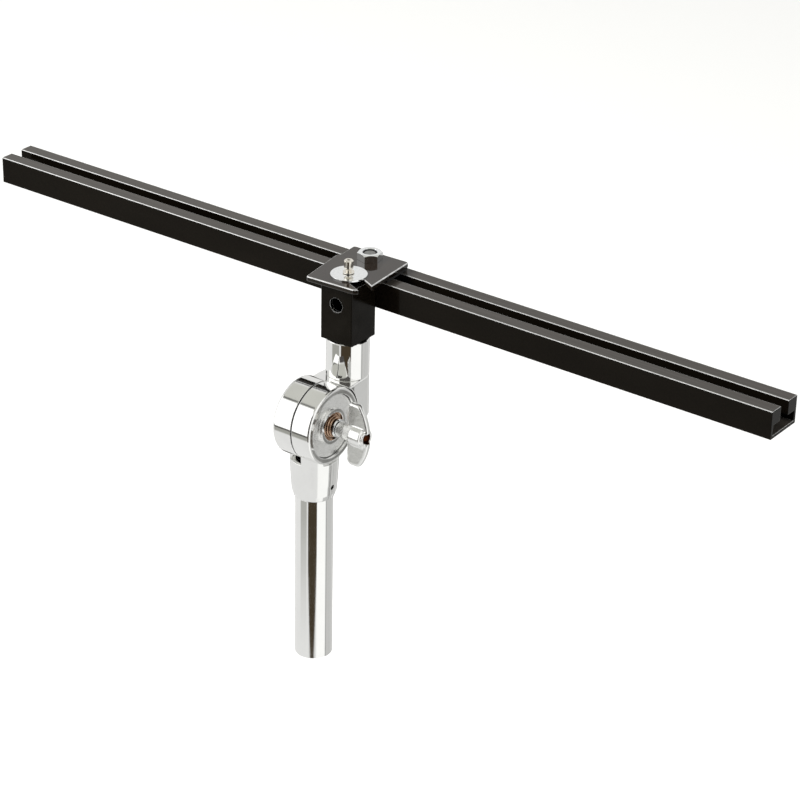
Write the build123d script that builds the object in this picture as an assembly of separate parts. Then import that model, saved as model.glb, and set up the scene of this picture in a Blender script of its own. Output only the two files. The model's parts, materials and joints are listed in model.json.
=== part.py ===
from build123d import *
import os
from math import atan2, degrees, sqrt

# Upper section of a percussion boom stand: a chromed tube and tilter carrying a
# black bracket that clamps a slotted accessory rail.
# Units are millimetres.  Origin: centre of the lower tube's open end, on its axis.
# +Z runs up the tube, +X along the tilter's pivot and the rail, +Y towards the rail.

# ---------------------------------------------------------------- lower tube and socket
TUBE_R = 11.1
TUBE_WALL = 1.5
TUBE_TOP = 126.0
TUBE_STEP = 106.5              # above this the tube is swaged down to enter its socket
TUBE_END_R = 10.6
SOCKET_BOTTOM = 107.0
SOCKET_TOP = 131.35
SOCKET_TOP_R = 14.4
SOCKET_MID_R = 13.6
SOCKET_LOW_R = 13.0
SOCKET_LIP_R = 11.8
NECK_TOP_R = 15.2
PIN_HOLE_R = 1.6
PIN_R = 1.5
PIN_Z = 115.0
FIT = 0.05                     # radial clearance of every running fit

# ---------------------------------------------------------------- tilter drum
DRUM_Z = 155.0
DRUM_R = 23.3
DRUM_FRONT_EDGE = 1.6          # rounding of the two outer rims
DRUM_REAR_EDGE = 2.0
SEAM_X = 1.0
SEAM_GAP = 1.0
DRUM_REAR_X = -12.8
DRUM_FRONT_X = 14.0
RIM_INNER_R = 19.4
FACE_DEPTH = 1.7
BOSS_R = 11.0
CUP_R = 8.6
CUP_DEPTH = 4.0
DISC_R = 17.0
DISC_THICK = 3.0
DISC_PROUD = 0.35              # how far each disc stands out of its recess

# ---------------------------------------------------------------- pivot hardware
BOLT_R = 3.0
BOLT_HEAD_AF = 10.0
BOLT_HEAD_H = 4.0
BOLT_END_X = 32.0
SLEEVE_R = 4.2
SPRING_WIRE_R = 0.7
SPRING_WIDE_R = 7.0
SPRING_NARROW_R = 4.7
SPRING_TURNS = 3.0
WASHER_X = 17.0
WASHER_THICK = 1.0
NUT_FACE_X = 18.3
HUB_R = 4.8
HUB_END_X = 37.6
WING_INNER_X = 24.6
WING_OUTER_X = 39.6
WING_HALF = 19.8
WING_THICK = 3.8
WING_CURVE_R = 33.4

# ---------------------------------------------------------------- arm and post
POST_X = 0.5
POST_Y = 29.9
POST_R = 12.65
POST_WALL = 2.0
POST_TOP = 197.2
BLOCK_BOTTOM = 146.0
BLOCK_TOP = 174.0
RELIEF_GAP = 0.4
SPIGOT_H = 14.0
PLUG_R = 9.05
PLUG_TOP = 205.5

# ---------------------------------------------------------------- bracket
SQUARE = 22.6
SQUARE_WALL = 2.2
SQUARE_BOTTOM = 197.5
SIDE_HOLE_R = 4.5
SIDE_HOLE_Z = 220.8
PLATE_T = 3.2
PLATE_EDGE = 0.75              # rounding of the plate's edges
PLATE_TOP = 236.2
PLATE_TWIST = 4.5              # the plate is clamped a few degrees out of square
PLATE_FRONT = -15.7            # plate edges from the rod, square to the plate
PLATE_BACK = 34.4
PLATE_LEFT = -18.7
PLATE_RIGHT = 19.5
EAR_X = -20.9                  # the left edge flares out to a small ear
EAR_Y = 18.8
EAR_STEP = 1.8
PLATE_SLOT = 9.1
PLATE_SLOT_ANGLE = -30.0
PAD_T = 1.7

# ---------------------------------------------------------------- rail
RAIL_L = 553.6
RAIL_W = 26.0
RAIL_H = 16.7
RAIL_X = -5.3
RAIL_Y = 54.5
RAIL_TOP = 231.0
RAIL_SLOT = 8.4
RAIL_LIP = 8.6
RAIL_WALL = 1.85
RAIL_WEB = 1.9
EDGE_BREAK = 0.35

# ---------------------------------------------------------------- rail bolt, nut and rod
NUT_X = -3.0
NUT_TURN = 43.0
M8_AF = 13.0
M8_R = 3.9
M8_NUT_H = 4.7
T_HEAD_H = 5.2
T_HEAD_W = 21.7
T_HEAD_L = 18.0
GAP = 0.3                      # space left between neighbours that move apart
ROD_R = 1.95
ROD_NECK_R = 1.65
ROD_HEAD_R = 2.75
ROD_TOP = 245.2
FLAT_WASHER_R = 10.7
FLAT_WASHER_T = 1.0


def cyl(radius, z0, z1, x=0.0, y=0.0):
    """Upright solid cylinder between two heights."""
    return Pos(x, y, (z0 + z1) / 2) * Cylinder(radius, z1 - z0)


def cyl_x(radius, x0, x1, y=0.0, z=DRUM_Z):
    """Solid cylinder along X."""
    return Pos((x0 + x1) / 2, y, z) * Rot(0, 90, 0) * Cylinder(radius, x1 - x0)


def box(x0, x1, y0, y1, z0, z1):
    """Box between two corners."""
    size = Box(x1 - x0, y1 - y0, z1 - z0)
    return Pos((x0 + x1) / 2, (y0 + y1) / 2, (z0 + z1) / 2) * size


def hexagon(flats):
    """Hexagon sketch given across its flats."""
    return RegularPolygon(flats / 2, 6, major_radius=False)


def hex_up(flats, z0, z1, x, y, turn=0.0):
    """Upright hexagonal prism."""
    return Pos(x, y, z0) * Rot(0, 0, turn) * extrude(hexagon(flats), z1 - z0)


def crown(solid_hex, flats, z0, z1, x, y):
    """Round off the corners of a hexagonal prism at its upper end."""
    across = flats / sqrt(3) * 2
    cone_h = (across - flats) / 2
    keep = cyl(across, z0, z1 - cone_h, x, y)
    top = Pos(x, y, z1 - cone_h / 2) * Cone(across / 2 + 0.35, flats / 2 - 0.1, cone_h)
    return solid_hex & (keep + top)


# ================================================================ base body
def lower_tube():
    """Stand tube, its upper end swaged down into the socket."""
    tube = cyl(TUBE_R, 0, TUBE_STEP) + cyl(TUBE_END_R, TUBE_STEP, TUBE_TOP)
    tube -= cyl(TUBE_R - TUBE_WALL, -1, TUBE_STEP)
    tube -= cyl(TUBE_END_R - TUBE_WALL, -1, TUBE_TOP + 1)
    return tube - cyl_x(PIN_HOLE_R, -20, 20, z=PIN_Z)


def face_relief(outer_x, inward):
    """Ring-shaped recess in a drum face, leaving a bright rim and a raised boss."""
    deep = outer_x + inward * FACE_DEPTH
    ring = cyl_x(RIM_INNER_R, *sorted((outer_x - inward, deep)))
    return ring - cyl_x(BOSS_R, *sorted((outer_x - 2 * inward, deep + inward)))


def taper(r0, z0, r1, z1):
    """Upright frustum about the tube's axis."""
    return Pos(0, 0, (z0 + z1) / 2) * Cone(r0, r1, z1 - z0)


def socket_body():
    """Tapered socket with a short bevelled lip."""
    low = SOCKET_BOTTOM
    lip = taper(SOCKET_LIP_R, low, SOCKET_LOW_R, low + 3.2)
    skirt = taper(SOCKET_LOW_R, low + 3.2, SOCKET_MID_R, low + 9.6)
    upper = taper(SOCKET_MID_R, low + 9.6, SOCKET_TOP_R, SOCKET_TOP)
    return lip + skirt + upper


def base_casting():
    seam = SEAM_X + SEAM_GAP / 2
    drum = cyl_x(DRUM_R, seam, DRUM_FRONT_X)
    rim = drum.edges().filter_by(GeomType.CIRCLE).sort_by(Axis.X)[-1]
    drum = fillet(rim, DRUM_FRONT_EDGE)
    neck = taper(SOCKET_TOP_R - 0.01, SOCKET_TOP - 0.2, NECK_TOP_R, DRUM_Z - 12)
    neck &= box(seam, DRUM_FRONT_X - DRUM_FRONT_EDGE, -30, 30, 0, 200)
    body = socket_body() + neck + drum
    body -= face_relief(DRUM_FRONT_X, -1)
    body -= cyl_x(CUP_R, DRUM_FRONT_X - CUP_DEPTH, DRUM_FRONT_X + 1)
    body -= cyl_x(DISC_R, seam - 1, seam + DISC_THICK)
    body -= cyl_x(SLEEVE_R, seam - 1, DRUM_FRONT_X + 1)
    body -= cyl(TUBE_END_R + FIT, SOCKET_BOTTOM - 1, TUBE_TOP + 0.2)
    return body - cyl_x(PIN_HOLE_R, -20, 20, z=PIN_Z)


def socket_pin():
    """Rolled spring pin that locks the tube in its socket, with its slit."""
    half = TUBE_R + 0.7
    pin = cyl_x(PIN_R, -half, half, z=PIN_Z) - cyl_x(PIN_R - 0.5, -half - 1, half + 1, z=PIN_Z)
    return pin - box(-half - 1, half + 1, -0.2, 0.2, PIN_Z, PIN_Z + 3)


def friction_disc(x0):
    """Flat friction ring that stands slightly out of its recess at the seam."""
    ring = cyl_x(DISC_R - FIT, x0, x0 + DISC_THICK + DISC_PROUD)
    return ring - cyl_x(SLEEVE_R + 1, x0 - 1, x0 + 9)


def pivot_sleeve():
    """Plain bearing bush between the pivot bolt and the fixed half."""
    x0 = SEAM_X + SEAM_GAP / 2
    x1 = DRUM_FRONT_X - CUP_DEPTH - 0.02
    return cyl_x(SLEEVE_R - 0.01, x0, x1) - cyl_x(BOLT_R + FIT, x0 - 1, x1 + 1)


def spring_seat():
    """Shallow cupped washer on the floor of the boss."""
    floor = DRUM_FRONT_X - CUP_DEPTH
    seat = cyl_x(CUP_R - 0.1, floor, floor + 1.8) - cyl_x(CUP_R - 0.5, floor + 0.8, floor + 5)
    return seat - cyl_x(BOLT_R + GAP, floor - 1, floor + 5)


def clamp_spring():
    """Conical spring that parts the drum halves when the wing nut is eased."""
    wide_end = DRUM_FRONT_X - CUP_DEPTH + 0.8 + SPRING_WIRE_R + 0.05
    narrow_end = WASHER_X - GAP - SPRING_WIRE_R
    length = narrow_end - wide_end
    lean = degrees(atan2(SPRING_WIDE_R - SPRING_NARROW_R, length))
    path = Helix(length / SPRING_TURNS, length, SPRING_NARROW_R, cone_angle=lean)
    profile = Plane(origin=path @ 0, z_dir=path % 0) * Circle(SPRING_WIRE_R)
    coil = sweep(profile, path=path, is_frenet=True)
    return Pos(narrow_end, 0, DRUM_Z) * Rot(0, -90, 0) * coil


# ================================================================ arm body
def arm_block():
    """Tapered block behind the drum, its back rounded to the post's diameter."""
    mid = (DRUM_REAR_X + DRUM_FRONT_X) / 2
    half = (DRUM_FRONT_X - DRUM_REAR_X) / 2
    front = Pos(mid, 12) * Rectangle(2 * half, 14)
    back = Pos(POST_X, POST_Y) * Circle(POST_R)
    plan = make_hull(front.edges() + back.edges())
    block = Pos(0, 0, BLOCK_BOTTOM) * extrude(plan, BLOCK_TOP - BLOCK_BOTTOM)
    block = chamfer(block.edges().group_by(Axis.Z)[0], 2.5)
    return chamfer(block.edges().group_by(Axis.Z)[-1], 0.7)


def arm_casting():
    seam = SEAM_X - SEAM_GAP / 2
    drum = cyl_x(DRUM_R, DRUM_REAR_X, seam)
    drum = fillet(drum.edges().filter_by(GeomType.CIRCLE).sort_by(Axis.X)[0], DRUM_REAR_EDGE)
    block = arm_block()
    block -= cyl_x(DRUM_R + RELIEF_GAP, seam, 40)
    block -= cyl_x(DRUM_R - 2.5, -40, seam)
    body = drum + block
    body -= face_relief(DRUM_REAR_X, 1)
    body -= cyl_x(DISC_R, seam - DISC_THICK, seam + 1)
    body -= cyl_x(BOLT_R + 0.02, DRUM_REAR_X - 1, seam + 1)
    pocket = extrude(hexagon(BOLT_HEAD_AF + 0.1), 6.5)
    body -= Pos(DRUM_REAR_X - 1, 0, DRUM_Z) * Rot(0, 90, 0) * pocket
    body += cyl(POST_R - POST_WALL - 0.01, BLOCK_TOP - 1, BLOCK_TOP + SPIGOT_H, POST_X, POST_Y)
    return body - post_pin_hole()


def post_pin_hole():
    """Blind hole from behind through the post's wall into the arm's spigot."""
    return Pos(POST_X, POST_Y + 8, BLOCK_TOP + 8) * Rot(90, 0, 0) * Cylinder(PIN_R, 14)


def pivot_bolt():
    """Hexagon bolt held from turning in the rear half, threaded at its free end."""
    x0 = DRUM_REAR_X + 1.4
    head = Pos(x0, 0, DRUM_Z) * Rot(0, 90, 0) * extrude(hexagon(BOLT_HEAD_AF), BOLT_HEAD_H)
    shank = cyl_x(BOLT_R, x0 + BOLT_HEAD_H, BOLT_END_X)
    shank = chamfer(shank.edges().filter_by(GeomType.CIRCLE).sort_by(Axis.X)[-1], 0.6)
    return head + shank


def post_tube():
    tube = cyl(POST_R, BLOCK_TOP, POST_TOP, POST_X, POST_Y)
    tube = chamfer(tube.edges().filter_by(GeomType.CIRCLE), 0.4)
    tube -= cyl(POST_R - POST_WALL, BLOCK_TOP - 1, POST_TOP + 1, POST_X, POST_Y)
    return tube - post_pin_hole()


def post_pin():
    """Cross pin that locks the post on the arm's spigot, driven in from behind."""
    return Pos(POST_X, POST_Y + 7.6, BLOCK_TOP + 8) * Rot(90, 0, 0) * Cylinder(PIN_R - 0.01, 9)


def post_plug():
    """Turned plug in the post's end, with the round spigot that the bracket turns on."""
    low = cyl(POST_R - POST_WALL - 0.01, POST_TOP - 8, POST_TOP, POST_X, POST_Y)
    spigot = cyl(PLUG_R, POST_TOP, PLUG_TOP, POST_X, POST_Y)
    spigot = chamfer(spigot.edges().filter_by(GeomType.CIRCLE).sort_by(Axis.Z)[-1], 0.8)
    return low + spigot - cyl(ROD_R + 0.01, POST_TOP - 9, PLUG_TOP + 1, POST_X, POST_Y)


def rod_jam_nut():
    z0 = PLUG_TOP + 0.02
    nut = hex_up(8.0, z0, z0 + 3.2, POST_X, POST_Y, 15)
    return nut - cyl(ROD_R + 0.01, z0 - 1, z0 + 5, POST_X, POST_Y)


def retaining_rod():
    """Slender rod from the post's plug up through the bracket, with a drilled head."""
    neck_top = ROD_TOP - 4.9
    washer_top = PLATE_TOP + FLAT_WASHER_T
    rod = cyl(ROD_R, POST_TOP - 7, washer_top + 0.5, POST_X, POST_Y)
    rod += cyl(ROD_NECK_R, washer_top, neck_top, POST_X, POST_Y)
    collar = cyl(ROD_HEAD_R + 0.6, washer_top + GAP, washer_top + GAP + 0.6, POST_X, POST_Y)
    flare = Pos(POST_X, POST_Y, neck_top - 0.5) * Cone(ROD_NECK_R, ROD_HEAD_R, 1.0)
    head = cyl(ROD_HEAD_R, neck_top, ROD_TOP, POST_X, POST_Y)
    head = chamfer(head.edges().filter_by(GeomType.CIRCLE).sort_by(Axis.Z)[-1], 0.5)
    return rod + collar + flare + head - cyl(0.9, ROD_TOP - 2, ROD_TOP + 1, POST_X, POST_Y)


# ================================================================ clamp washer and wing nut
def thrust_washer():
    ring = cyl_x(HUB_R + 0.7, WASHER_X, WASHER_X + WASHER_THICK)
    return ring - cyl_x(BOLT_R + FIT, WASHER_X - 1, WASHER_X + 3)


def wing_nut():
    """Cast wing nut: round hub and two thin wings with a bowed outer edge."""
    plan = Pos((WING_INNER_X + 50) / 2, 0) * Rectangle(50 - WING_INNER_X, 2 * WING_HALF)
    plan &= Pos(WING_OUTER_X - WING_CURVE_R, 0) * Circle(WING_CURVE_R)
    plan = fillet(plan.vertices(), 3.2)
    wings = extrude(Plane.XZ * plan, WING_THICK / 2, both=True)
    wings = Pos(0, 0, DRUM_Z) * fillet(wings.edges(), 1.3)
    hub = cyl_x(HUB_R, NUT_FACE_X, HUB_END_X + 0.2)
    hub = hub + Pos(WING_INNER_X + 1.5, 0, DRUM_Z) * Rot(0, 90, 0) * Cone(HUB_R, HUB_R + 1.4, 5)
    hub = hub + cyl_x(HUB_R + 1.4, WING_INNER_X + 4, HUB_END_X - 1.5)
    nut = wings + hub
    nut -= cyl_x(BOLT_R + FIT, 0, 60)
    return nut - cyl_x(BOLT_R + 0.35, HUB_END_X - 4.5, 60)


# ================================================================ bracket body
def square_tube():
    """Square tube with radiused corners, a side hole near its top."""
    outer = RectangleRounded(SQUARE, SQUARE, 0.9)
    inner = Rectangle(SQUARE - 2 * SQUARE_WALL, SQUARE - 2 * SQUARE_WALL)
    height = PLATE_TOP - PLATE_T - SQUARE_BOTTOM
    tube = Pos(POST_X, POST_Y, SQUARE_BOTTOM) * extrude(outer - inner, height)
    hole = Pos(POST_X, POST_Y - SQUARE / 2, SIDE_HOLE_Z) * Rot(90, 0, 0) * Cylinder(SIDE_HOLE_R, 8)
    return tube - hole


def on_plate(sketch):
    """Turn a sketch drawn square to the plate about the rod's axis."""
    return Pos(POST_X, POST_Y) * Rot(0, 0, PLATE_TWIST) * sketch


def plate_blank():
    """Outline of the clamp plate: bevelled front tip, flared left edge with an ear."""
    outline = Polyline(
        (PLATE_LEFT, PLATE_FRONT), (PLATE_RIGHT - 5.9, PLATE_FRONT - 0.6),
        (PLATE_RIGHT, PLATE_FRONT + 3.6), (PLATE_RIGHT, PLATE_BACK - 0.6),
        (PLATE_LEFT - 0.6, PLATE_BACK + 1.0), (EAR_X + EAR_STEP, EAR_Y + 3.0), (EAR_X, EAR_Y),
        close=True,
    )
    blank = make_face(outline)
    corners = blank.vertices()
    rear_left = corners.sort_by(Axis.Y)[-1]
    rear_right = corners.sort_by(Axis.Y)[-2]
    blank = fillet(rear_left, 1.6)
    blank = fillet(blank.vertices().sort_by_distance(tuple(rear_right))[0], 1.8)
    return fillet(blank.vertices().sort_by(Axis.Y)[0:2], 1.6)


def clamp_plate():
    """Flat plate over the square tube and the rail, with an open slanted slot."""
    reach = 40
    slot = Pos(reach / 2, 0) * Rectangle(reach, PLATE_SLOT) + Circle(PLATE_SLOT / 2)
    slot = Rot(0, 0, PLATE_SLOT_ANGLE) * slot
    plate = extrude(on_plate(plate_blank() - slot), PLATE_T)
    plate = Pos(0, 0, PLATE_TOP - PLATE_T) * plate
    plate = fillet(plate.edges().group_by(Axis.Z)[-1], PLATE_EDGE)
    plate = fillet(plate.edges().group_by(Axis.Z)[0], PLATE_EDGE)
    return plate - cyl(M8_R + 0.2, 0, 300, NUT_X, RAIL_Y)


def rail_pad():
    """Thin pad between the plate and the rail's top."""
    depth = RAIL_W - 5
    mid = (PLATE_LEFT + PLATE_RIGHT) / 2
    width = PLATE_RIGHT - PLATE_LEFT - 1.6
    sheet = Pos(mid, PLATE_BACK - 1.2 - depth / 2) * Rectangle(width, depth)
    top = PLATE_TOP - PLATE_T
    pad = Pos(0, 0, top - PAD_T) * extrude(on_plate(sheet), PAD_T)
    return pad - cyl(M8_R + 0.2, 0, 300, NUT_X, RAIL_Y)


def rail_bolt():
    """T-headed bolt whose oblong head slides inside the rail and can't turn there."""
    ceiling = RAIL_TOP - RAIL_LIP - GAP
    half = T_HEAD_W / 2
    reach = T_HEAD_L / 2
    head = box(NUT_X - reach, NUT_X + reach, RAIL_Y - half, RAIL_Y + half, ceiling - T_HEAD_H, ceiling)
    head = chamfer(head.edges().filter_by(Axis.Z), 1.5)
    shank = cyl(M8_R, ceiling, PLATE_TOP + M8_NUT_H - 0.8, NUT_X, RAIL_Y)
    shank = chamfer(shank.edges().filter_by(GeomType.CIRCLE).sort_by(Axis.Z)[-1], 0.7)
    return head + shank


def rail_nut():
    """Thin hexagon nut with rounded upper corners and a bevelled thread mouth."""
    z0 = PLATE_TOP + FIT
    z1 = PLATE_TOP + M8_NUT_H
    nut = hex_up(M8_AF, z0, z1, NUT_X, RAIL_Y, NUT_TURN)
    nut = crown(nut, M8_AF, z0, z1, NUT_X, RAIL_Y)
    nut -= cyl(M8_R + FIT, 0, 300, NUT_X, RAIL_Y)
    mouth = Pos(NUT_X, RAIL_Y, z1 - 0.35) * Cone(M8_R, M8_R + 0.7, 0.7)
    return nut - mouth


def rod_washer():
    """Large flat washer under the rod's collar, sitting slightly off centre."""
    x = POST_X + 0.5
    y = POST_Y - 0.35
    ring = cyl(FLAT_WASHER_R, PLATE_TOP, PLATE_TOP + FLAT_WASHER_T, x, y)
    ring = chamfer(ring.edges().filter_by(GeomType.CIRCLE).sort_by(Axis.Z)[-1], 0.2)
    return ring - cyl(ROD_R + 1.0, 0, 300, x, y)


# ================================================================ rail body
def rail_channel():
    """Extruded channel with a T-shaped slot along its top, open at both ends."""
    half = RAIL_W / 2
    inner = half - RAIL_WALL
    slot = RAIL_SLOT / 2
    low = -RAIL_H
    points = [
        (-half, low), (half, low), (half, 0), (slot, 0), (slot, -RAIL_LIP), (inner, -RAIL_LIP),
        (inner, low + RAIL_WEB), (-inner, low + RAIL_WEB), (-inner, -RAIL_LIP), (-slot, -RAIL_LIP),
        (-slot, 0), (-half, 0),
    ]
    profile = make_face(Polyline(*points, close=True))
    outer = [v for v in profile.vertices() if v.Y > -0.1 or v.Y < low + 0.1]
    profile = chamfer(outer, EDGE_BREAK)
    start = Plane(origin=(RAIL_X - RAIL_L / 2, RAIL_Y, RAIL_TOP), x_dir=(0, 1, 0), z_dir=(1, 0, 0))
    return extrude(start * profile, RAIL_L)


PARTS = {
    "lower_tube": lower_tube,
    "base_casting": base_casting,
    "socket_pin": socket_pin,
    "friction_disc_front": lambda: friction_disc(SEAM_X + SEAM_GAP / 2 - DISC_PROUD),
    "pivot_sleeve": pivot_sleeve,
    "spring_seat": spring_seat,
    "clamp_spring": clamp_spring,
    "arm_casting": arm_casting,
    "friction_disc_rear": lambda: friction_disc(SEAM_X - SEAM_GAP / 2 - DISC_THICK),
    "pivot_bolt": pivot_bolt,
    "post_tube": post_tube,
    "post_pin": post_pin,
    "post_plug": post_plug,
    "rod_jam_nut": rod_jam_nut,
    "retaining_rod": retaining_rod,
    "thrust_washer": thrust_washer,
    "wing_nut": wing_nut,
    "square_tube": square_tube,
    "clamp_plate": clamp_plate,
    "rail_pad": rail_pad,
    "rail_bolt": rail_bolt,
    "rod_washer": rod_washer,
    "rail_nut": rail_nut,
    "rail_channel": rail_channel,
}

os.makedirs("parts", exist_ok=True)
for node, make in PARTS.items():
    part = make()
    export_step(part if isinstance(part, Part) else Part(part.wrapped), f"parts/{node}.step")
    print(node, "solids", len(part.solids()), "volume", round(part.volume, 1))
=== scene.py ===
import bpy
import json
import math
from mathutils import Matrix, Vector


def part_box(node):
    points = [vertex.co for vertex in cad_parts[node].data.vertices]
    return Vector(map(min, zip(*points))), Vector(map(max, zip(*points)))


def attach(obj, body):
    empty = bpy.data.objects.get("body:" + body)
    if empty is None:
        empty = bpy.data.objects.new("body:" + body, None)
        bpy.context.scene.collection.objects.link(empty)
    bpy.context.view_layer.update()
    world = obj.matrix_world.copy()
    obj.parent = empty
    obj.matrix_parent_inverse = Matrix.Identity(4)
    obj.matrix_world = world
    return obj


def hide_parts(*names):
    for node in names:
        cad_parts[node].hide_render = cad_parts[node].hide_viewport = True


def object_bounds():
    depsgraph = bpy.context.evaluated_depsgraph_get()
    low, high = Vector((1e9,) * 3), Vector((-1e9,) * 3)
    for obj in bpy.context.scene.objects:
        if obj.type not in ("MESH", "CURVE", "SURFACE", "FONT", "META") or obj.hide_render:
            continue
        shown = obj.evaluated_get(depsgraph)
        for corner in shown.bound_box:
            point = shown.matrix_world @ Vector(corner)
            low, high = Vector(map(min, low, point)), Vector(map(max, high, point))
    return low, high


# Studio picture of the boom stand's tilter with its rail.  Metres, in the CAD row frame:
# +Z runs up the lower tube, +X along the tilter's pivot and the rail, +Y towards the rail.
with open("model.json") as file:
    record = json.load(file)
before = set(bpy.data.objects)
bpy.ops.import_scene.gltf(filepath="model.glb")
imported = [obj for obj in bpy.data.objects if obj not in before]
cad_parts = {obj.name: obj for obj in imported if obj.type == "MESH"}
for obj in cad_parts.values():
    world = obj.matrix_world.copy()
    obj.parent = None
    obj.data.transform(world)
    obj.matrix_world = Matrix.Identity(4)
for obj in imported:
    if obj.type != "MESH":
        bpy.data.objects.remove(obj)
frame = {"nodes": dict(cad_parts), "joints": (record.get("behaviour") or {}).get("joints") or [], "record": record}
CAD_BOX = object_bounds()
NODES = frame["nodes"]
SCENE = bpy.context.scene
MM = 0.001
SEAM = (0.45 * MM, 1.55 * MM)    # gap between the drum halves, along X
PIVOT_Z = next(j for j in frame["joints"] if j["name"] == "tilt")["pos_m"][2]

# ---------------------------------------------------------------- camera, floor and key light
CAMERA_AZIMUTH = 36.19
CAMERA_ELEVATION = 27.10
CAMERA_ROLL = 1.19
CAMERA_DISTANCE = 1.6476
CAMERA_TARGET = Vector((0.0206, 0.0545, 0.1524))
CAMERA_LENS = 126.67           # mm, on a sensor this wide
SENSOR_WIDTH = 36.0
FLOOR_DROP = 0.45              # the stand's lower part is absent, so the floor lies well below
FLOOR_SIZE = 30.0
KEY_PLACE = Vector((-1.6, -1.8, 2.2))
KEY_AIM = Vector((0, 0, 0.15))
KEY_SIZE = 1.6
KEY_POWER = 130                # watts


# ================================================================ shader helpers
def node(tree, kind, inputs=None, **props):
    """Add a shader node; each input is a value or the socket that feeds it."""
    made = tree.nodes.new(kind)
    for key, value in props.items():
        setattr(made, key, value)
    for key, value in (inputs or {}).items():
        if isinstance(value, bpy.types.NodeSocket):
            tree.links.new(value, made.inputs[key])
        else:
            made.inputs[key].default_value = value
    return made


def calc(tree, operation, a, b=0.0):
    """Math node's result."""
    return node(tree, "ShaderNodeMath", {0: a, 1: b}, operation=operation).outputs[0]


def distance(tree, a, a0, b, b0):
    """How far the point (a, b) lies from (a0, b0)."""
    across = calc(tree, "POWER", calc(tree, "SUBTRACT", a, a0), 2.0)
    along = calc(tree, "POWER", calc(tree, "SUBTRACT", b, b0), 2.0)
    return calc(tree, "SQRT", calc(tree, "ADD", across, along))


def step(tree, value, low, high):
    """Smooth rise from 0 at low to 1 at high; the other way round if low is above high."""
    flip = low > high
    inputs = {"Value": value, "From Min": min(low, high), "From Max": max(low, high),
              "To Min": float(flip), "To Max": float(not flip)}
    return node(tree, "ShaderNodeMapRange", inputs, interpolation_type="SMOOTHSTEP").outputs["Result"]


def span(tree, value, low, high, soft):
    """1 between low and high, 0 outside, with soft edges."""
    rise = step(tree, value, low - soft, low + soft)
    fall = step(tree, value, high + soft, high - soft)
    return calc(tree, "MULTIPLY", rise, fall)


def blend(tree, mask, low, high):
    """Colour that goes from low to high with the mask."""
    mix = tree.nodes.new("ShaderNodeMix")
    mix.data_type = "RGBA"         # its factor is then socket 0, its two colours 6 and 7
    for index, value in ((0, mask), (6, low), (7, high)):
        if isinstance(value, bpy.types.NodeSocket):
            tree.links.new(value, mix.inputs[index])
        else:
            mix.inputs[index].default_value = value
    return mix.outputs[2]


def rgb(*values):
    """Colour from three values, or a grey from one."""
    return (values + values[:1] * 2)[:3] + (1.0,)


# ================================================================ studio
# The studio round the object, as patches of light and shade by compass direction and height,
# in degrees.  Direction 0 looks along -Y and 90 along +X.  Later patches cover earlier ones.
# They stand still in the world, so reflections move over the metal when the view turns.
STUDIO = [
    # direction      height        soft   light
    ((-190, 190), (46, 100), 3.0, (0.62, 0.62, 0.575)),      # ceiling
    ((-135, -118), (40.5, 43.0), 0.6, (0.02, 0.02, 0.02)),   # ceiling's dark edge
    ((-8, 58), (-20, 38), 4.0, (0.09, 0.085, 0.08)),         # dark room in front
    ((54, 113), (-70, 60), 4.0, (1.10, 1.10, 1.08)),         # white wall on the right
    ((113, 200), (-70, 8), 3.0, (0.60, 0.60, 0.59)),         # grey wall behind on the right
    ((117.5, 120), (-50, 0), 0.8, (0.20, 0.20, 0.19)),       # its two dark joints
    ((141.5, 144), (-50, 0), 0.8, (0.16, 0.16, 0.15)),
    ((-168, -128), (-70, -4), 3.0, (0.10, 0.095, 0.09)),     # dark room on the far side
    ((-160, -150), (-70, -4), 2.0, (0.75, 0.75, 0.74)),      # its bright doorway
    ((-52, -8), (-30.3, -19), 2.0, (0.38, 0.38, 0.35)),      # table's far shade on the left
    ((-75, -6), (-17, 45), 1.0, (1.5, 1.5, 1.48)),           # the soft box
    ((-75, -6), (-21.5, -18), 0.8, (0.06, 0.055, 0.05)),     # its dark frames
    ((-75, -30), (46.5, 49.5), 0.9, (0.16, 0.16, 0.15)),
]
BASE_LIGHT = (0.84, 0.84, 0.83)
BACKDROP = (0.90, 0.90, 0.89)  # what shows beyond the floor in the picture itself
FLAG_COLOUR = (0.058, 0.044, 0.027)
FLAG_AZIMUTH = 28.0            # black flag in front: a wedge that narrows downwards
FLAG_TIP = -33.9
FLAG_TOP = -17.0
FLAG_SPREAD = 8.0
FLAG_HALF = 27.0
FLAG_SOFT = 1.5


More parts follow.
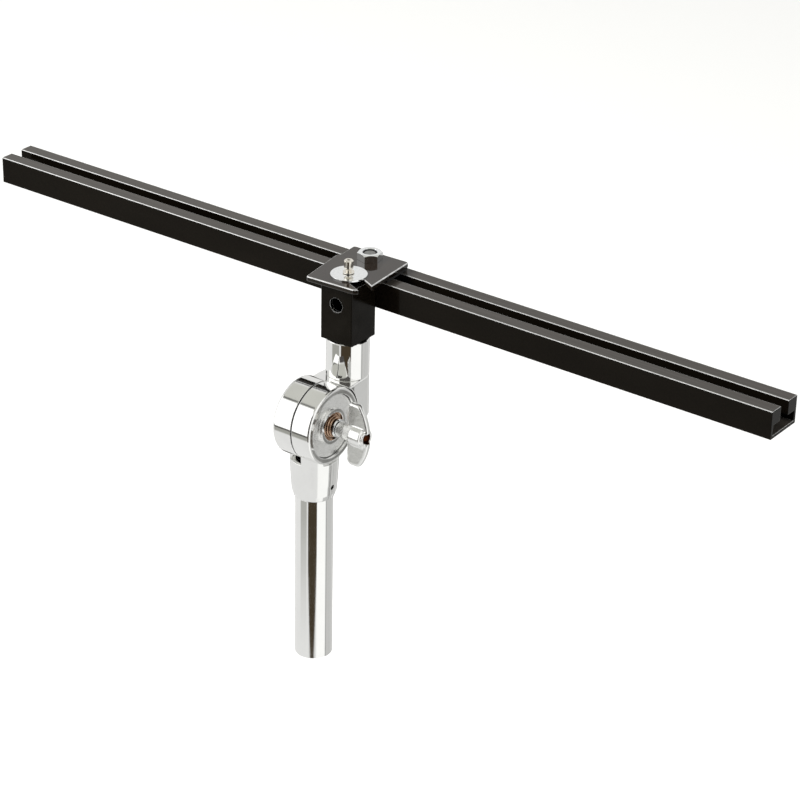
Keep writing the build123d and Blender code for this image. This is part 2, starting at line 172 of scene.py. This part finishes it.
def studio_world():
    world = bpy.data.worlds.new("studio")
    SCENE.world = world
    world.use_nodes = True
    tree = world.node_tree
    tree.nodes.clear()
    look = node(tree, "ShaderNodeTexCoord").outputs["Generated"]
    axis = node(tree, "ShaderNodeSeparateXYZ", {0: look})
    back_y = calc(tree, "MULTIPLY", axis.outputs["Y"], -1.0)
    azimuth = calc(tree, "DEGREES", calc(tree, "ARCTAN2", axis.outputs["X"], back_y))
    height = calc(tree, "DEGREES", calc(tree, "ARCSINE", axis.outputs["Z"]))
    colour = node(tree, "ShaderNodeRGB").outputs[0]
    colour.default_value = rgb(*BASE_LIGHT)
    for direction, level, soft, light in STUDIO:
        across = span(tree, azimuth, *direction, soft)
        mask = calc(tree, "MULTIPLY", across, span(tree, height, *level, soft))
        colour = blend(tree, mask, colour, rgb(*light))
    off_centre = calc(tree, "ABSOLUTE", calc(tree, "SUBTRACT", azimuth, FLAG_AZIMUTH))
    width = calc(tree, "MULTIPLY", calc(tree, "SUBTRACT", height, FLAG_TIP), FLAG_SPREAD)
    width = calc(tree, "MINIMUM", width, FLAG_HALF)
    inside = step(tree, calc(tree, "SUBTRACT", width, off_centre), -FLAG_SOFT, FLAG_SOFT)
    mask = calc(tree, "MULTIPLY", inside, step(tree, height, FLAG_TOP, FLAG_TOP - 2))
    colour = blend(tree, mask, colour, rgb(*FLAG_COLOUR))
    lighting = node(tree, "ShaderNodeBackground", {"Color": colour, "Strength": 1.0}).outputs[0]
    plain = node(tree, "ShaderNodeBackground", {"Color": rgb(*BACKDROP), "Strength": 1.0}).outputs[0]
    direct = node(tree, "ShaderNodeLightPath").outputs["Is Camera Ray"]
    seen = node(tree, "ShaderNodeMixShader", {0: direct, 1: lighting, 2: plain}).outputs[0]
    node(tree, "ShaderNodeOutputWorld", {"Surface": seen})


def studio_camera():
    data = bpy.data.cameras.new("camera")
    data.lens = CAMERA_LENS
    data.sensor_width = SENSOR_WIDTH
    data.clip_end = 100.0
    camera = bpy.data.objects.new("camera", data)
    SCENE.collection.objects.link(camera)
    turn = Matrix.Rotation(math.radians(CAMERA_AZIMUTH), 4, "Z")
    tilt = Matrix.Rotation(math.radians(90 - CAMERA_ELEVATION), 4, "X")
    roll = Matrix.Rotation(math.radians(CAMERA_ROLL), 4, "Z")
    facing = turn @ tilt @ roll
    away = facing.to_3x3() @ Vector((0, 0, 1))
    camera.matrix_world = Matrix.Translation(CAMERA_TARGET + away * CAMERA_DISTANCE) @ facing
    SCENE.camera = camera


def area_light(name, place, aim, size, power):
    data = bpy.data.lights.new(name, "AREA")
    data.shape = "RECTANGLE"
    data.size = size
    data.size_y = size
    data.energy = power
    lamp = bpy.data.objects.new(name, data)
    SCENE.collection.objects.link(lamp)
    lamp.location = place
    lamp.rotation_euler = (aim - place).to_track_quat("-Z", "Y").to_euler()
    lamp.visible_glossy = False
    lamp.visible_camera = False


def studio_floor():
    """Plain pale floor.  Mirror finishes see the studio's own light in its place."""
    half = FLOOR_SIZE / 2
    level = CAD_BOX[0].z - FLOOR_DROP
    corners = [(-half, -half, level), (half, -half, level), (half, half, level), (-half, half, level)]
    mesh = bpy.data.meshes.new("floor")
    mesh.from_pydata(corners, [], [(0, 1, 2, 3)])
    floor = bpy.data.objects.new("floor", mesh)
    SCENE.collection.objects.link(floor)
    floor.visible_glossy = False
    paint = bpy.data.materials.new("floor_paint")
    paint.use_nodes = True
    shader = paint.node_tree.nodes["Principled BSDF"]
    shader.inputs["Base Color"].default_value = rgb(0.93)
    shader.inputs["Roughness"].default_value = 0.9
    mesh.materials.append(paint)


# ================================================================ places where a finish changes
POST_AXIS_X = next(j for j in frame["joints"] if j["name"] == "bracket_swivel")["pos_m"][0]
SQUARE_FRONT_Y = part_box("square_tube")[0].y
SIDE_HOLE_Z = 220.8 * MM
SIDE_HOLE_EDGE = (4.58 * MM, 4.52 * MM)         # radius where the square tube's hole begins
TUBE_WALL = (2.1 * MM, 1.9 * MM)                # depth of that hole's wall
DRUM_RING = (9.6 * MM, 19.2 * MM)               # radii of the ring turned out of the drum's faces
DRUM_FRONT = (10.0 * MM, 12.9 * MM)             # where the two faces lie along X
DRUM_REAR = (-11.4 * MM, -10.8 * MM)
# radii of dark lines painted as shade at the corners of the drum faces' turned ring
PAINTED_CORNER_SHADE = ((18.95 * MM, 19.4 * MM), (9.25 * MM, 9.6 * MM), (8.3 * MM, 8.55 * MM))
SEAM_RADII = (4.6 * MM, 19.0 * MM)
PARTING_Y = (-2.5 * MM, -2.15 * MM)             # mould line down the base casting's +X side
PARTING_X = (8 * MM, 9 * MM)
PARTING_Z = (131 * MM, 130 * MM)
WING_NUT_X = (18.0 * MM, 18.6 * MM)
WING_THREAD_R = (3.5 * MM, 3.3 * MM)            # mouth of the wing nut's threaded hole
WING_THREAD_X = (30 * MM, 30.5 * MM)
NUT_MOUTH = (3.35 * MM, 4.25 * MM)              # radii of the rail nut's thread mouth
BOLT_PITCH = 1.25 * MM
NUT_VOXEL = 0.3 * MM
NUT_SOFTENING = 14


# ================================================================ materials
class Finish:
    """One material under construction: a Principled shader, object coordinates and a bump chain.

    Its edge is the radius over which the shading rounds sharp edges; 0 leaves them sharp.
    """

    def __init__(self, name, edge):
        self.material = bpy.data.materials.new(name)
        self.material.use_nodes = True
        self.tree = self.material.node_tree
        self.tree.nodes.clear()
        self.shader = node(self.tree, "ShaderNodeBsdfPrincipled")
        node(self.tree, "ShaderNodeOutputMaterial", {"Surface": self.shader.outputs[0]})
        self.place = node(self.tree, "ShaderNodeTexCoord").outputs["Object"]
        axis = node(self.tree, "ShaderNodeSeparateXYZ", {0: self.place})
        self.x, self.y, self.z = axis.outputs
        self.normal = None
        if edge:
            self.normal = node(self.tree, "ShaderNodeBevel", {"Radius": edge}, samples=6).outputs[0]

    def set(self, **sockets):
        names = {"color": "Base Color", "rough": "Roughness",
                 "metal": "Metallic", "specular": "Specular IOR Level"}
        for key, value in sockets.items():
            socket = self.shader.inputs[names[key]]
            if isinstance(value, bpy.types.NodeSocket):
                self.tree.links.new(value, socket)
            else:
                socket.default_value = value
        return self

    def noise(self, scale, detail=3.0, stretch=(1, 1, 1), roughness=0.55):
        place = node(self.tree, "ShaderNodeMapping", {"Vector": self.place, "Scale": stretch}).outputs[0]
        inputs = {"Vector": place, "Scale": scale, "Detail": detail, "Roughness": roughness}
        return node(self.tree, "ShaderNodeTexNoise", inputs).outputs[0]

    def between(self, mask, low, high, start=0.3, end=0.7):
        """Value that goes from low to high as the mask goes from start to end."""
        inputs = {"Value": mask, "From Min": start, "From Max": end, "To Min": low, "To Max": high}
        return node(self.tree, "ShaderNodeMapRange", inputs).outputs["Result"]

    def colours(self, mask, low, high, start=0.3, end=0.7):
        return blend(self.tree, self.between(mask, 0.0, 1.0, start, end), rgb(*low), rgb(*high))

    def bump(self, height, depth, strength=1.0):
        inputs = {"Height": height, "Distance": depth, "Strength": strength}
        if self.normal is not None:
            inputs["Normal"] = self.normal
        self.normal = node(self.tree, "ShaderNodeBump", inputs).outputs[0]
        return self

    def facing(self, vector, direction):
        """How far a world vector points along a direction fixed to the piece."""
        local = node(self.tree, "ShaderNodeVectorTransform", {0: vector},
                     vector_type="NORMAL", convert_from="WORLD", convert_to="OBJECT").outputs[0]
        inputs = {0: local, 1: direction}
        return node(self.tree, "ShaderNodeVectorMath", inputs, operation="DOT_PRODUCT").outputs["Value"]

    def painted_edge_highlights(self, radius):
        """1 along the upper edges, on every side alike, where a bright metallic highlight is painted on the black
        finish.
        """
        bevel = node(self.tree, "ShaderNodeBevel", {"Radius": radius}, samples=8).outputs[0]
        return span(self.tree, self.facing(bevel, (0, 0, 1)), 0.24, 0.95, 0.04)

    def painted_top_sheen_mask(self):
        """1 on faces that look up, which are painted lighter as a sheen."""
        plain = node(self.tree, "ShaderNodeNewGeometry").outputs["Normal"]
        return step(self.tree, self.facing(plain, (0, 0, 1)), 0.6, 0.95)

    def done(self):
        if self.normal is not None:
            self.tree.links.new(self.normal, self.shader.inputs["Normal"])
        return self.material

    def radius_from_pivot(self):
        return distance(self.tree, self.y, 0.0, self.z, PIVOT_Z)


def chrome_tube():
    """Polished plate: faint drawing lines along the tube, hand smudges in the gloss."""
    f = Finish("chrome_tube", 0.25 * MM)
    smudge = f.noise(45, 4)
    lines = f.noise(900, 2, (1, 1, 0.02))
    f.set(color=f.colours(smudge, (0.86, 0.86, 0.85), (0.90, 0.90, 0.89)), metal=1.0,
          rough=f.between(smudge, 0.035, 0.075))
    return f.bump(lines, 0.004 * MM, 0.5).done()


def chrome_cast():
    """Plate on a die casting: granular in the ring of the drum's faces, rougher on the wing nut."""
    f = Finish("chrome_cast", 0.7 * MM)
    tree = f.tree
    smudge = f.noise(70, 4)
    grain = f.noise(2300, 3, roughness=0.7)
    radius = f.radius_from_pivot()
    ring = span(tree, radius, *DRUM_RING, 0.15 * MM)
    front = span(tree, f.x, *DRUM_FRONT, 0.2 * MM)
    rear = span(tree, f.x, *DRUM_REAR, 0.2 * MM)
    turned = calc(tree, "ADD", front, rear)
    granular = calc(tree, "MULTIPLY", ring, turned)
    inner = span(tree, radius, *SEAM_RADII, 0.1 * MM)
    # mask for a near-black line painted as shade along the gap between the drum halves
    painted_seam_shade = calc(tree, "MULTIPLY", inner, span(tree, f.x, *SEAM, 0.02 * MM))
    tint = f.colours(smudge, (0.84, 0.84, 0.83), (0.89, 0.89, 0.88))
    speckle = f.colours(grain, (0.70, 0.70, 0.68), (1.0, 1.0, 0.99), 0.35, 0.6)
    line = span(tree, f.y, *PARTING_Y, 0.12 * MM)
    line = calc(tree, "MULTIPLY", line, step(tree, f.x, *PARTING_X))
    line = calc(tree, "MULTIPLY", line, step(tree, f.z, *PARTING_Z))
    tint = blend(tree, granular, tint, speckle)
    tint = blend(tree, line, tint, rgb(0.10, 0.10, 0.09))
    tint = blend(tree, painted_seam_shade, tint, rgb(0.02, 0.02, 0.02))
    # painted shade: dark lines at the corners of the turned ring
    for radii in PAINTED_CORNER_SHADE:
        corner = calc(tree, "MULTIPLY", span(tree, radius, *radii, 0.06 * MM), turned)
        tint = blend(tree, corner, tint, rgb(0.09, 0.09, 0.085))
    # painted shade: a dark brown inside the mouth of the wing nut's threaded hole
    painted_thread_shade = step(tree, radius, *WING_THREAD_R)
    painted_thread_shade = calc(tree, "MULTIPLY", painted_thread_shade, step(tree, f.x, *WING_THREAD_X))
    tint = blend(tree, painted_thread_shade, tint, rgb(0.30, 0.14, 0.07))
    smooth_rough = f.between(smudge, 0.05, 0.10)
    rough = calc(tree, "ADD", smooth_rough, calc(tree, "MULTIPLY", granular, 0.18))
    nut = step(tree, f.x, *WING_NUT_X)
    rough = calc(tree, "ADD", rough, calc(tree, "MULTIPLY", nut, 0.13))
    f.set(color=tint, metal=1.0, rough=rough)
    f.bump(f.noise(160, 2), 0.012 * MM, 0.5)
    f.bump(calc(tree, "MULTIPLY", f.noise(420, 3), nut), 0.14 * MM, 0.7)
    f.bump(calc(tree, "MULTIPLY", grain, granular), 0.12 * MM, 0.8)
    return f.bump(line, -0.15 * MM, 1.0).done()


def zinc_plate():
    """Bright zinc: fine mottling, a bluish cast, and a dark ring painted as shade in the rail nut's thread mouth.
    """
    f = Finish("zinc_plate", 0.15 * MM)
    mottle = f.noise(700, 4, roughness=0.65)
    fine = f.noise(3500, 2)
    middle = (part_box("rail_nut")[0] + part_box("rail_nut")[1]) / 2
    radius = distance(f.tree, f.x, middle.x, f.y, middle.y)
    # painted shade: a dark ring round the rail nut's thread mouth
    painted_mouth_shade = span(f.tree, radius, *NUT_MOUTH, 0.1 * MM)
    tint = f.colours(mottle, (0.82, 0.83, 0.84), (0.94, 0.95, 0.95))
    f.set(color=blend(f.tree, painted_mouth_shade, tint, rgb(0.10, 0.10, 0.11)), metal=1.0,
          rough=f.between(mottle, 0.06, 0.14))
    return f.bump(mottle, 0.012 * MM, 0.5).bump(fine, 0.004 * MM, 0.5).done()


def nickel_rod():
    """Warm nickel on the slender rod, faintly smudged."""
    f = Finish("nickel_rod", 0.15 * MM)
    smudge = f.noise(300, 3)
    f.set(color=f.colours(smudge, (0.74, 0.70, 0.63), (0.86, 0.82, 0.75)), metal=1.0,
          rough=f.between(smudge, 0.10, 0.2))
    return f.bump(smudge, 0.02 * MM, 0.5).done()


def bronze_spring():
    """Drawn bronze-coloured wire, slightly tarnished."""
    f = Finish("bronze_spring", 0.0)
    tarnish = f.noise(900, 4)
    f.set(color=f.colours(tarnish, (0.34, 0.22, 0.15), (0.62, 0.43, 0.30)), metal=1.0,
          rough=f.between(tarnish, 0.15, 0.35))
    return f.bump(tarnish, 0.01 * MM, 0.6).done()


def friction_fibre():
    f = Finish("friction_fibre", 0.0)
    fibre = f.noise(1800, 5, (1, 3, 1))
    f.set(color=f.colours(fibre, (0.12, 0.10, 0.08), (0.26, 0.22, 0.18)), rough=f.between(fibre, 0.7, 0.95))
    return f.bump(fibre, 0.05 * MM).done()


def white_nylon():
    f = Finish("white_nylon", 0.0)
    haze = f.noise(500, 3)
    f.set(color=f.colours(haze, (0.78, 0.77, 0.72), (0.86, 0.85, 0.81)), rough=f.between(haze, 0.35, 0.5))
    return f.bump(haze, 0.01 * MM).done()


def black_satin():
    """Powder coat: fine orange peel, painted highlights along its upper edges, and bare bright metal in the side
    hole's wall.
    """
    f = Finish("black_satin", 0.4 * MM)
    peel = f.noise(1100, 2)
    cloud = f.noise(90, 3)
    # painted highlight: bright metal colour along the upper edges, broken up by noise
    edge = calc(f.tree, "MULTIPLY", f.painted_edge_highlights(0.4 * MM), f.between(f.noise(400, 3), 0.1, 0.7))
    paint = f.colours(cloud, (0.0034, 0.0026, 0.0016), (0.0054, 0.0043, 0.0029))
    off_axis = distance(f.tree, f.x, POST_AXIS_X, f.z, SIDE_HOLE_Z)
    cut = step(f.tree, off_axis, *SIDE_HOLE_EDGE)
    wall = step(f.tree, f.y, SQUARE_FRONT_Y + TUBE_WALL[0], SQUARE_FRONT_Y + TUBE_WALL[1])
    cut = calc(f.tree, "MULTIPLY", cut, wall)
    # one mask for the side hole's bare wall and the painted edge highlight
    bare_cut_and_painted_highlight = calc(f.tree, "MAXIMUM", edge, cut)
    f.set(color=blend(f.tree, bare_cut_and_painted_highlight, paint, rgb(0.8)), metal=bare_cut_and_painted_highlight,
          rough=f.between(cloud, 0.13, 0.19), specular=0.12)
    return f.bump(peel, 0.008 * MM, 0.6).done()


def black_gloss():
    """Gloss enamel on the plate, brown, with a lighter colour painted on its upward faces as sheen and painted
    highlights along its upper edges.
    """
    f = Finish("black_gloss", 0.6 * MM)
    cloud = f.noise(60, 4)
    rub = f.noise(500, 5, roughness=0.7)
    # painted highlight: bright metal colour along the upper edges, broken up by noise
    edge = calc(f.tree, "MULTIPLY", f.painted_edge_highlights(0.6 * MM), f.between(f.noise(300, 3), 0.5, 1.0))
    paint = f.colours(cloud, (0.006, 0.0045, 0.003), (0.011, 0.008, 0.006))
    # painted sheen: a lighter brown on the faces that look up
    painted_top_sheen = f.colours(cloud, (0.011, 0.0070, 0.0045), (0.019, 0.0135, 0.0095))
    paint = blend(f.tree, f.painted_top_sheen_mask(), paint, painted_top_sheen)
    f.set(color=blend(f.tree, edge, paint, rgb(0.9)), metal=edge,
          rough=f.between(rub, 0.03, 0.08), specular=0.5)
    return f.bump(rub, 0.004 * MM, 0.6).done()


def black_rubber():
    f = Finish("black_rubber", 0.0)
    grain = f.noise(2200, 3)
    f.set(color=f.colours(grain, (0.008, 0.008, 0.008), (0.02, 0.02, 0.02)), rough=f.between(grain, 0.6, 0.8))
    return f.bump(grain, 0.02 * MM).done()


def dark_bolt():
    """Blackened steel with a rolled thread round the shank."""
    f = Finish("dark_bolt", 0.1 * MM)
    wear = f.noise(900, 3)
    turns = calc(f.tree, "SINE", calc(f.tree, "MULTIPLY", f.z, 2 * math.pi / BOLT_PITCH))
    f.set(color=f.colours(wear, (0.16, 0.16, 0.155), (0.36, 0.36, 0.35)), metal=1.0,
          rough=f.between(wear, 0.25, 0.4))
    return f.bump(turns, 0.25 * MM).done()


def black_rail():
    """Black anodised extrusion: lengthwise die lines, a lighter top painted as sheen, painted highlights along its
    upper arrises.
    """
    f = Finish("black_rail", 0.5 * MM)
    lines = f.noise(1500, 3, (0.01, 1, 1))
    cloud = f.noise(40, 4, (0.3, 1, 1))
    # painted highlight: bright metal colour along the upper arrises, broken up by noise
    edge = calc(f.tree, "MULTIPLY", f.painted_edge_highlights(0.45 * MM), f.between(f.noise(250, 4), 0.55, 1.0))
    paint = f.colours(cloud, (0.0030, 0.0022, 0.0014), (0.0050, 0.0038, 0.0026))
    # painted sheen: a lighter colour on the faces that look up
    painted_top_sheen = f.colours(lines, (0.036, 0.032, 0.028), (0.054, 0.048, 0.043))
    paint = blend(f.tree, f.painted_top_sheen_mask(), paint, painted_top_sheen)
    f.set(color=blend(f.tree, edge, paint, rgb(0.9)), metal=edge,
          rough=f.between(lines, 0.06, 0.11), specular=0.14)
    return f.bump(lines, 0.003 * MM, 0.6).done()


MAKERS = {f.__name__: f for f in (
    chrome_tube, chrome_cast, zinc_plate, nickel_rod, bronze_spring, friction_fibre,
    white_nylon, black_satin, black_gloss, black_rubber, dark_bolt, black_rail)}


def dress_nodes():
    """Give every CAD node the material of its slot; returns the materials by slot."""
    finishes = {name: make() for name, make in MAKERS.items()}
    for entry in frame["record"]["subparts"]:
        mesh = NODES[entry["node"]].data
        mesh.materials.clear()
        mesh.materials.append(finishes[entry["material_slot"]])
    return finishes


# ================================================================ detailed pieces
def wing_nut_casting(finish):
    """The wing nut as cast: wings that flow out of the hub, with soft edges."""
    source = NODES["wing_nut"]
    blank = source.copy()
    blank.data = source.data.copy()
    SCENE.collection.objects.link(blank)
    remesh = blank.modifiers.new("skin", "REMESH")
    remesh.mode = "VOXEL"
    remesh.voxel_size = NUT_VOXEL
    soften = blank.modifiers.new("soften", "SMOOTH")
    soften.factor = 0.5
    soften.iterations = NUT_SOFTENING
    bpy.context.view_layer.update()
    skin = bpy.data.meshes.new_from_object(blank.evaluated_get(bpy.context.evaluated_depsgraph_get()))
    bpy.data.objects.remove(blank)
    skin.shade_smooth()
    skin.materials.clear()
    skin.materials.append(finish)
    piece = bpy.data.objects.new("wing_nut_casting", skin)
    SCENE.collection.objects.link(piece)
    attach(piece, "wing_nut")
    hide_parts("wing_nut")


studio_camera()
studio_floor()
studio_world()
area_light("key", KEY_PLACE, KEY_AIM, KEY_SIZE, KEY_POWER)
FINISHES = dress_nodes()
wing_nut_casting(FINISHES["chrome_cast"])
SCENE.view_settings.view_transform = "Standard"
